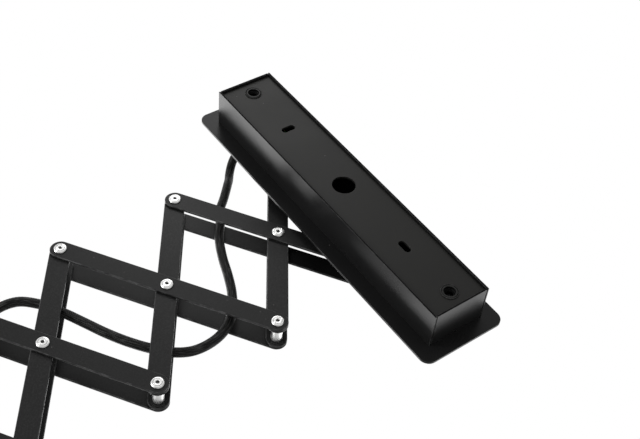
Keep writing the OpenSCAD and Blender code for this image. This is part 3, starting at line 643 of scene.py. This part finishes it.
# Stretches of cord: the two bodies that carry one, where it ends along X, where its bend
# starts and ends along X, and the solids that it stands for
STRETCHES = [
    ("wall_unit", "swing_bracket", 0.0415, 0.0175, 0.0405, ("cord_wall",)),
    ("swing_bracket", "falling_1", 0.081, 0.043, 0.080, ("cord_arm_1",)),
    ("falling_1", "rising_2", 0.128, 0.082, 0.126, ()),
    ("rising_2", "falling_3", 0.2755, 0.1315, 0.2735, ("cord_arm_2", "cord_arm_3")),
    ("falling_3", "rising_4", 0.319, 0.2775, 0.317, ()),
    ("rising_4", "front_bracket", 0.3595, 0.322, 0.357, ("cord_arm_4",)),
    ("front_bracket", "lamp_head", 1.0, 0.362, 0.386, ("cord_drop",)),
]


# Headings of the route at its two ends
OUT_OF_RELIEF = Vector((0, -1, 0))
INTO_BUSH = Vector((0, 0, -1))
# Steps between two points of the route before its points are spaced evenly
KNOT_STEPS = 60


def cord_line(step):
    """Evenly spaced points along a smooth curve through the route, and the curve's length"""
    knots = [Vector(p) for p in ROUTE] + [top_middle("cap_bush")]
    slopes = [OUT_OF_RELIEF]
    for before, here, after in zip(knots, knots[1:], knots[2:]):
        come, go = here - before, after - here
        left, right = come.length, go.length
        slopes.append((come * right / left + go * left / right) / (left + right))
    slopes.append(INTO_BUSH)
    dense = []
    for a, b, slope_a, slope_b in zip(knots, knots[1:], slopes, slopes[1:]):
        span = (b - a).length
        for i in range(KNOT_STEPS):
            t = i / KNOT_STEPS
            dense.append(a * (2 * t ** 3 - 3 * t ** 2 + 1)
                         + slope_a * span * (t ** 3 - 2 * t ** 2 + t)
                         + b * (3 * t ** 2 - 2 * t ** 3)
                         + slope_b * span * (t ** 3 - t ** 2))
    dense.append(knots[-1])
    lengths = [0.0]
    for a, b in zip(dense, dense[1:]):
        lengths.append(lengths[-1] + (b - a).length)
    count = round(lengths[-1] / step)
    line, at = [], 0
    for i in range(count + 1):
        want = lengths[-1] * i / count
        while at < len(dense) - 2 and lengths[at + 1] < want:
            at += 1
        share = (want - lengths[at]) / (lengths[at + 1] - lengths[at])
        line.append(dense[at].lerp(dense[at + 1], share))
    return line, lengths[-1]


def frames_along(line):
    """Heading and side directions at each point, carried along without twist"""
    side = Vector((1, 0, 0))
    frames = []
    for i in range(len(line)):
        ahead = (line[min(i + 1, len(line) - 1)] - line[max(i - 1, 0)]).normalized()
        side = (side - ahead * side.dot(ahead)).normalized()
        frames.append((side.copy(), ahead.cross(side)))
    return frames


def braid_height(turn, distance, strands, lay):
    """Height of the braid from 0 to 1, where two sets of strands pass over and under each other"""
    first = strands * (turn + distance / lay)
    second = strands * (turn - distance / lay)
    over = (math.floor(first) + math.floor(second)) % 2
    across, along = (first, second) if over == 0 else (second, first)
    crown = abs(math.sin(math.pi * across))
    return crown * (0.55 + 0.45 * abs(math.sin(math.pi * along)))


def cord_piece(name, line, frames, first, last):
    """A braided tube over the rings from first to last"""
    cord = bpy.context.scene.lamp_cord
    step = cord.ring_step
    rings, sides = last - first, cord.sides
    bm = bmesh.new()
    bmesh.ops.create_grid(bm, x_segments=rings, y_segments=sides, size=0.5)
    chart = bm.loops.layers.uv.new("cord_map")
    place = {vert: (round((vert.co.x + 0.5) * rings), round((vert.co.y + 0.5) * sides))
             for vert in bm.verts}
    for face in bm.faces:
        for loop in face.loops:
            ring, side = place[loop.vert]
            loop[chart].uv = ((first + ring) * step, side / sides)
    for vert, (ring, side) in place.items():
        turn = FULL_TURN * side / sides
        across, up = frames[first + ring]
        height = braid_height((side % sides) / sides, (first + ring) * step, cord.strands, cord.lay)
        radius = cord.diameter / 2 - cord.relief * (1 - height)
        vert.co = line[first + ring] + (across * math.cos(turn) + up * math.sin(turn)) * radius
    bmesh.ops.remove_doubles(bm, verts=bm.verts, dist=MERGE)
    bmesh.ops.holes_fill(bm, edges=[edge for edge in bm.edges if edge.is_boundary], sides=0)
    bmesh.ops.recalc_face_normals(bm, faces=bm.faces)
    return placed(name, bm, [cord_fabric])


class LAMP_OT_cord(bpy.types.Operator):
    """Lays the braided cord along its route, in stretches"""

    bl_idname = "lamp.cord"
    bl_label = "Braided cord"

    def execute(self, context):
        cord = context.scene.lamp_cord
        line, length = cord_line(cord.ring_step)
        frames = frames_along(line)
        first = 0
        for number, (near, far, end, bend_from, bend_to, nodes) in enumerate(STRETCHES, 1):
            last = max(i for i, point in enumerate(line) if point.x <= end)
            piece = cord_piece("cord_stretch_%d" % number, line, frames, first, last)
            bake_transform(piece)
            if nodes:
                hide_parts(*nodes)
            first = last
        return {"FINISHED"}


# Arm


class LAMP_OT_bars(bpy.types.Operator):
    """Finishes the sixteen flat bars of the scissor arm"""

    bl_idname = "lamp.bars"
    bl_label = "Flat bars"

    def execute(self, context):
        edge = context.scene.lamp_finish.bar_edge
        for kind in ("falling", "rising"):
            for number in range(1, STAGES + 1):
                for side in ("rear", "front"):
                    dressed("%s_bar_%d_%s" % (kind, number, side), edge)
        return {"FINISHED"}


TUBE_RADIUS = 4.25 * MM
TUBE_BORE = 2.55 * MM
# Half outline of a rivet: radius, and height above the foot of its head, in millimetres
RIVET_HEAD = [
    (0.0, -0.90), (1.13, -0.90), (1.35, 1.32), (1.55, 1.47), (2.75, 1.50), (3.00, 1.50),
    (3.25, 1.15), (3.50, 1.47), (4.20, 1.30), (4.78, 0.80), (5.0, 0.25), (5.0, 0.0), (2.5, 0.0),
]
RIVET_ROUNDING = 0.14 * MM


def add_rivet(bm, centre, foot, steps):
    """A rivet along Y with a ring and a dimple in each head; foot is from its middle to a head"""
    head = [(r * MM, foot + h * MM) for r, h in RIVET_HEAD]
    half = filleted(head, RIVET_ROUNDING)
    whole = half + [Vector((p.x, -p.y)) for p in reversed(half)]
    turned(bm, whole, centre, Vector((0, -1, 0)), steps)


def rivets(node, spots):
    """The rivets of one node; spots are their middles and the share of their full length"""
    low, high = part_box(node)
    head_height = max(height for _, height in RIVET_HEAD) * MM
    foot = (high.y - low.y) / 2 - head_height
    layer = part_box("rising_bar_1_rear")[1].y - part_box("falling_bar_1_rear")[1].y
    bm = bmesh.new()
    for centre, short in spots:
        add_rivet(bm, centre, foot - layer * short, bpy.context.scene.lamp_finish.round_steps)
    return stands_for(placed(node + "_finish", closed(bm), [rivet_zinc]), node)


def tubes(node, spots):
    """Turned spacer tubes between the two sides of the arm"""
    low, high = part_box(node)
    half = (high.y - low.y) / 2
    radius = TUBE_RADIUS
    inside = TUBE_BORE
    chamfer = 0.35 * MM
    profile = [
        (inside, half - chamfer), (inside + chamfer, half), (radius - chamfer, half),
        (radius, half - chamfer), (radius, chamfer - half), (radius - chamfer, -half),
        (inside + chamfer, -half), (inside, chamfer - half), (inside, half - chamfer)]
    bm = bmesh.new()
    for centre in spots:
        turned(bm, filleted(profile, 0.1 * MM), centre, Vector((0, 1, 0)),
               bpy.context.scene.lamp_finish.round_steps)
    return stands_for(placed(node + "_finish", closed(bm), [tube_zinc]), node)


class LAMP_OT_pivots(bpy.types.Operator):
    """Turns the rivets and spacer tubes and finishes the washers"""

    bl_idname = "lamp.pivots"
    bl_label = "Rivets and tubes"

    def execute(self, context):
        for n in range(1, STAGES + 1):
            rivets("pivot_rivets_%d" % n, [
                (pivot_at(n - 1, True), n == 1), (middle_of_stage(n), False),
                (pivot_at(n, False), n == STAGES)])
            spots = [middle_of_stage(n)]
            if n > 1:
                spots.append(pivot_at(n - 1, True))
            if n < STAGES:
                spots.append(pivot_at(n, False))
            tubes("spacer_tubes_%d" % n, spots)
        rivets("slide_rivet", [(pivot_at(0, False), False)])
        rivets("end_rivet", [(pivot_at(STAGES, True), False)])
        dressed("slide_washers", context.scene.lamp_finish.small_edge)
        dressed("end_washers", context.scene.lamp_finish.small_edge)
        return {"FINISHED"}


# Wall unit


def on_rim(centre, normal):
    """Tells which faces get painted shade: the rim at the mouth of the box, in the plane of the wall"""
    return normal.y > 0.99 and centre.y > -MERGE


def insert_hollows():
    """Tells which faces get painted shade: those inside the mouth of an insert or in the groove of its ring"""
    low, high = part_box("bracket_inserts")
    radius = (high.x - low.x) / 2
    mouth = 0.69 * radius
    groove = (radius - 1.1 * MM, radius - 0.35 * MM)

    def is_hollow(centre, normal):
        middle = math.copysign((high.z - low.z) / 2 - radius, centre.z)
        away = math.hypot(centre.x - (low.x + high.x) / 2, centre.z - middle)
        inside = away < mouth or groove[0] < away < groove[1]
        return inside and centre.y < high.y - MERGE

    return is_hollow


class LAMP_OT_wall_box(bpy.types.Operator):
    """Finishes the wall box, its face plate and the bracket with its inserts"""

    bl_idname = "lamp.wall_box"
    bl_label = "Wall box"

    def execute(self, context):
        edges = context.scene.lamp_finish
        # The rim of the box and the hollows of the inserts get painted shade
        dressed("wall_box", edges.sheet_edge, painted_shade_mask=on_rim)
        dressed("face_plate", edges.sheet_edge)
        dressed("wall_bracket", edges.sheet_edge)
        dressed("bracket_inserts", edges.small_edge, painted_shade_mask=insert_hollows())
        dressed("cover_screws", edges.small_edge)
        return {"FINISHED"}


# The earth lead stays above this height, and the other two go below it, to the terminals
STUD_HEIGHT = 60 * MM


def separate_leads(bm):
    """Gives the two lower leads their colours from -X to +X, and the earth lead the last one"""
    left, leads = set(bm.faces), []
    while left:
        seed = left.pop()
        lead, front = {seed}, [seed]
        while front:
            face = front.pop()
            for edge in face.edges:
                for other in edge.link_faces:
                    if other in left:
                        left.discard(other)
                        lead.add(other)
                        front.append(other)
        leads.append(lead)
    lowest = [min((v.co.z, v.co.x) for face in lead for v in face.verts) for lead in leads]
    order = sorted(range(len(leads)), key=lambda i: (lowest[i][0] > STUD_HEIGHT, lowest[i][1]))
    for number, i in enumerate(order):
        for face in leads[i]:
            face.material_index = number


class LAMP_OT_wiring(bpy.types.Operator):
    """Finishes the terminals, leads, earth stud and strain relief"""

    bl_idname = "lamp.wiring"
    bl_label = "Wiring"

    def execute(self, context):
        small = context.scene.lamp_finish.small_edge
        dressed("terminal_block", small)
        dressed("terminal_screws", small)
        dressed("earth_screw", small)
        dressed("cord_gland", small)
        bm = merged_copy("inner_leads")
        separate_leads(bm)
        leads = placed("inner_leads_finish", bm, [lead_brown, lead_blue, lead_earth])
        smooth = leads.modifiers.new("Round", "SUBSURF")
        smooth.levels = 2
        smooth.render_levels = 2
        stands_for(leads, "inner_leads")
        return {"FINISHED"}


class LAMP_OT_hinge(bpy.types.Operator):
    """Finishes the wall hinge and the channel that swings on it"""

    bl_idname = "lamp.hinge"
    bl_label = "Wall hinge"

    def execute(self, context):
        edges = context.scene.lamp_finish
        for node in ("hinge_lug_top", "hinge_lug_bottom", "swing_channel"):
            dressed(node, edges.sheet_edge)
        dressed("lug_screws", edges.small_edge)
        dressed("hinge_pins", edges.small_edge)
        return {"FINISHED"}


class LAMP_OT_front(bpy.types.Operator):
    """Finishes the front channel, the tilt bolt with its knob and the nut"""

    bl_idname = "lamp.front"
    bl_label = "Front channel"

    def execute(self, context):
        edges = context.scene.lamp_finish
        dressed("front_channel", edges.sheet_edge)
        dressed("tilt_bolt", edges.small_edge)
        dressed("tilt_nut", edges.small_edge)
        return {"FINISHED"}


# Head


UP = Vector((0, 0, 1))
HEAD_STEPS = 128
BULB_STEPS = 96


def shade_profiles():
    """Outer and inner outline of the shade: a flat top, a dome and a rolled bead at its mouth"""
    low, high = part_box("shade")
    wall = 1.2 * MM
    bead = 1.1 * MM
    flat = 22.0 * MM
    hole = 14.05 * MM
    dome_steps, dome_turn = 34, 2.5
    bead_steps, bead_start, bead_turn = 21, 60, 15
    wide = (high.x - low.x) / 2
    deep = high.z - low.z
    outer, inner = [(hole, 0.0)], [(hole, -wall)]
    for step in range(dome_steps):
        a = math.radians(dome_turn * step)
        outer.append((flat + (wide - flat) * math.sin(a), -deep * (1 - math.cos(a))))
        inner.append((flat + (wide - flat - wall) * math.sin(a),
                      -wall - (deep - wall) * (1 - math.cos(a))))
    for step in range(bead_steps):
        a = math.radians(bead_start - bead_turn * step)
        outer.append((wide - bead + bead * math.cos(a), bead - deep + bead * math.sin(a)))
    inner.append(outer[-1])
    return outer, inner


class LAMP_OT_head(bpy.types.Operator):
    """Spins the shade and finishes the neck, cap, bush and lamp holder"""

    bl_idname = "lamp.head"
    bl_label = "Lamp head"

    def execute(self, context):
        small = context.scene.lamp_finish.small_edge
        centre = top_middle("shade")
        outer, inner = shade_profiles()
        bm = bmesh.new()
        turned(bm, outer, centre, UP, HEAD_STEPS)
        turned(bm, inner, centre, UP, HEAD_STEPS, material=1)
        turned(bm, [outer[0], inner[0]], centre, UP, HEAD_STEPS)
        stands_for(placed("shade_finish", closed(bm), [head_coat, enamel]), "shade")
        for node in ("shade_neck", "holder_cap", "cap_bush", "lamp_holder", "shade_ring"):
            dressed(node, small)
        return {"FINISHED"}


class LAMP_OT_bulb(bpy.types.Operator):
    """Spins the opal bulb and finishes its screw shell"""

    bl_idname = "lamp.bulb"
    bl_label = "Bulb"

    def execute(self, context):
        low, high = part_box("bulb_globe")
        radius = (high.x - low.x) / 2
        middle = (high.z - low.z) - radius
        neck = [(0.0, 0.0), (7.3 * MM, 0.0), (7.9 * MM, -1.5 * MM)]
        ball = [(radius * math.cos(math.radians(a)), radius * math.sin(math.radians(a)) - middle)
                for a in range(60, -91, -3)]
        ball[-1] = (0.0, ball[-1][1])
        bm = bmesh.new()
        outline = filleted(neck + ball[:1], 2.0 * MM)[:-1] + ball
        turned(bm, outline, top_middle("bulb_globe"), UP, BULB_STEPS)
        stands_for(placed("bulb_globe_finish", closed(bm), [bulb_glass]), "bulb_globe")
        dressed("bulb_cap", context.scene.lamp_finish.small_edge)
        return {"FINISHED"}


# Studio


def camera_from(studio):
    """The camera of the photographed view"""
    data = bpy.data.cameras.new("Camera")
    data.sensor_width = SENSOR_WIDTH
    data.lens = studio.camera_lens
    data.clip_start = 0.01
    data.clip_end = 50.0
    camera = bpy.data.objects.new("Camera", data)
    back = -Vector(studio.camera_heading).normalized()
    up = Vector(studio.camera_up).normalized()
    right = up.cross(back)
    turn = Matrix((right, up, back)).transposed().to_4x4()
    camera.matrix_world = Matrix.Translation(studio.camera_place) @ turn
    bpy.context.scene.collection.objects.link(camera)
    bpy.context.scene.camera = camera


def soft_light(name, place, target, width, power):
    """A square light of its width, in metres, and its power, in watts"""
    data = bpy.data.lights.new(name, "AREA")
    data.shape = "SQUARE"
    data.size = width
    data.energy = power
    light = bpy.data.objects.new(name, data)
    toward = (Vector(target) - Vector(place)).to_track_quat("-Z", "Y")
    light.matrix_world = Matrix.Translation(place) @ toward.to_matrix().to_4x4()
    light.visible_camera = False
    bpy.context.scene.collection.objects.link(light)


def sky(level):
    """White where the camera, gloss and glass see it, and soft light for the rest"""
    world = bpy.data.worlds.new("White surround")
    world.use_nodes = True
    bpy.context.scene.world = world
    tree = world.node_tree
    path = add(tree, "LightPath")
    seen = maths(tree, "MAXIMUM", path.outputs["Is Camera Ray"], maths(
        tree, "MAXIMUM", path.outputs["Is Glossy Ray"], path.outputs["Is Transmission Ray"]))
    strength = ranged(tree, seen, 0.0, 1.0, level, 1.0)
    background = tree.nodes["Background"]
    background.inputs["Color"].default_value = (1.0, 1.0, 1.0, 1.0)
    tree.links.new(strength, background.inputs["Strength"])


def ground(studio):
    """A pale matt floor"""
    bm = bmesh.new()
    bmesh.ops.create_grid(bm, x_segments=1, y_segments=1, size=studio.ground_size / 2,
                          matrix=Matrix.Translation((0, 0, studio.ground_level)))
    mesh = bpy.data.meshes.new("Ground")
    bm.to_mesh(mesh)
    bm.free()
    material, tree, shader, where = start_finish(
        "Pale ground", {"Specular IOR Level": 0.2, "Roughness": 0.7})
    cloud = noise(tree, where, 0.4)
    pale = mixed(tree, cloud, tone((0.86, 0.86, 0.86)), tone((0.90, 0.90, 0.90)))
    tree.links.new(pale, shader.inputs["Base Color"])
    mesh.materials.append(material)
    floor = bpy.data.objects.new("Ground", mesh)
    bpy.context.scene.collection.objects.link(floor)


# Lights: name, place, the point they face, width, and the setting that holds their power
LIGHTS = [
    ("Room light", (-0.8, -1.7, 0.9), (0.15, -0.03, 0.0), 1.8, "room_power"),
    ("Top card", (-0.38, 0.60, 0.82), (0.0, 0.0, 0.12), 0.55, "top_power"),
    ("Side card", (0.295, -0.44, 0.62), (0.02, -0.01, 0.12), 0.42, "side_power"),
    ("Low card", (-0.33, -0.55, -0.54), (0.0, -0.01, -0.14), 0.5, "low_power"),
    ("Corner card", (0.27, -0.42, 0.03), (0.02, -0.01, -0.13), 0.14, "corner_power"),
    ("Left light", (0.85, 0.42, 0.40), (0.15, -0.05, 0.0), 0.35, "left_power"),
]


class LAMP_OT_studio(bpy.types.Operator):
    """Sets up the camera, the pale ground and the soft light"""

    bl_idname = "lamp.studio"
    bl_label = "Studio"

    def execute(self, context):
        studio = context.scene.lamp_studio
        camera_from(studio)
        sky(studio.sky_level)
        ground(studio)
        for name, place, target, width, power in LIGHTS:
            soft_light(name, place, target, width, getattr(studio, power))
        context.scene.view_settings.view_transform = "Standard"
        return {"FINISHED"}


class LAMP_PT_panel(bpy.types.Panel):
    """Lists the steps that finish the lamp"""

    bl_idname = "LAMP_PT_panel"
    bl_label = "Accordion wall lamp"
    bl_space_type = "VIEW_3D"
    bl_region_type = "UI"
    bl_category = "Wall lamp"

    def draw(self, context):
        for operator in OPERATORS:
            self.layout.operator(operator.bl_idname)
        for settings in ("lamp_studio", "lamp_finish", "lamp_cord"):
            box = self.layout.box()
            group = getattr(context.scene, settings)
            for name in group.__annotations__:
                box.prop(group, name)


OPERATORS = (
    LAMP_OT_studio, LAMP_OT_cord, LAMP_OT_bars, LAMP_OT_pivots, LAMP_OT_wall_box, LAMP_OT_wiring,
    LAMP_OT_hinge, LAMP_OT_front, LAMP_OT_head, LAMP_OT_bulb,
)
CLASSES = (LampStudio, LampFinish, LampCord, *OPERATORS, LAMP_PT_panel)


def register():
    for kind in CLASSES:
        bpy.utils.register_class(kind)
    bpy.types.Scene.lamp_studio = PointerProperty(type=LampStudio)
    bpy.types.Scene.lamp_finish = PointerProperty(type=LampFinish)
    bpy.types.Scene.lamp_cord = PointerProperty(type=LampCord)


def unregister():
    del bpy.types.Scene.lamp_cord
    del bpy.types.Scene.lamp_finish
    del bpy.types.Scene.lamp_studio
    for kind in reversed(CLASSES):
        bpy.utils.unregister_class(kind)


def main():
    register()
    bpy.ops.lamp.studio()
    bpy.ops.lamp.cord()
    bpy.ops.lamp.bars()
    bpy.ops.lamp.pivots()
    bpy.ops.lamp.wall_box()
    bpy.ops.lamp.wiring()
    bpy.ops.lamp.hinge()
    bpy.ops.lamp.front()
    bpy.ops.lamp.head()
    bpy.ops.lamp.bulb()


if __name__ == "__main__":
    main()
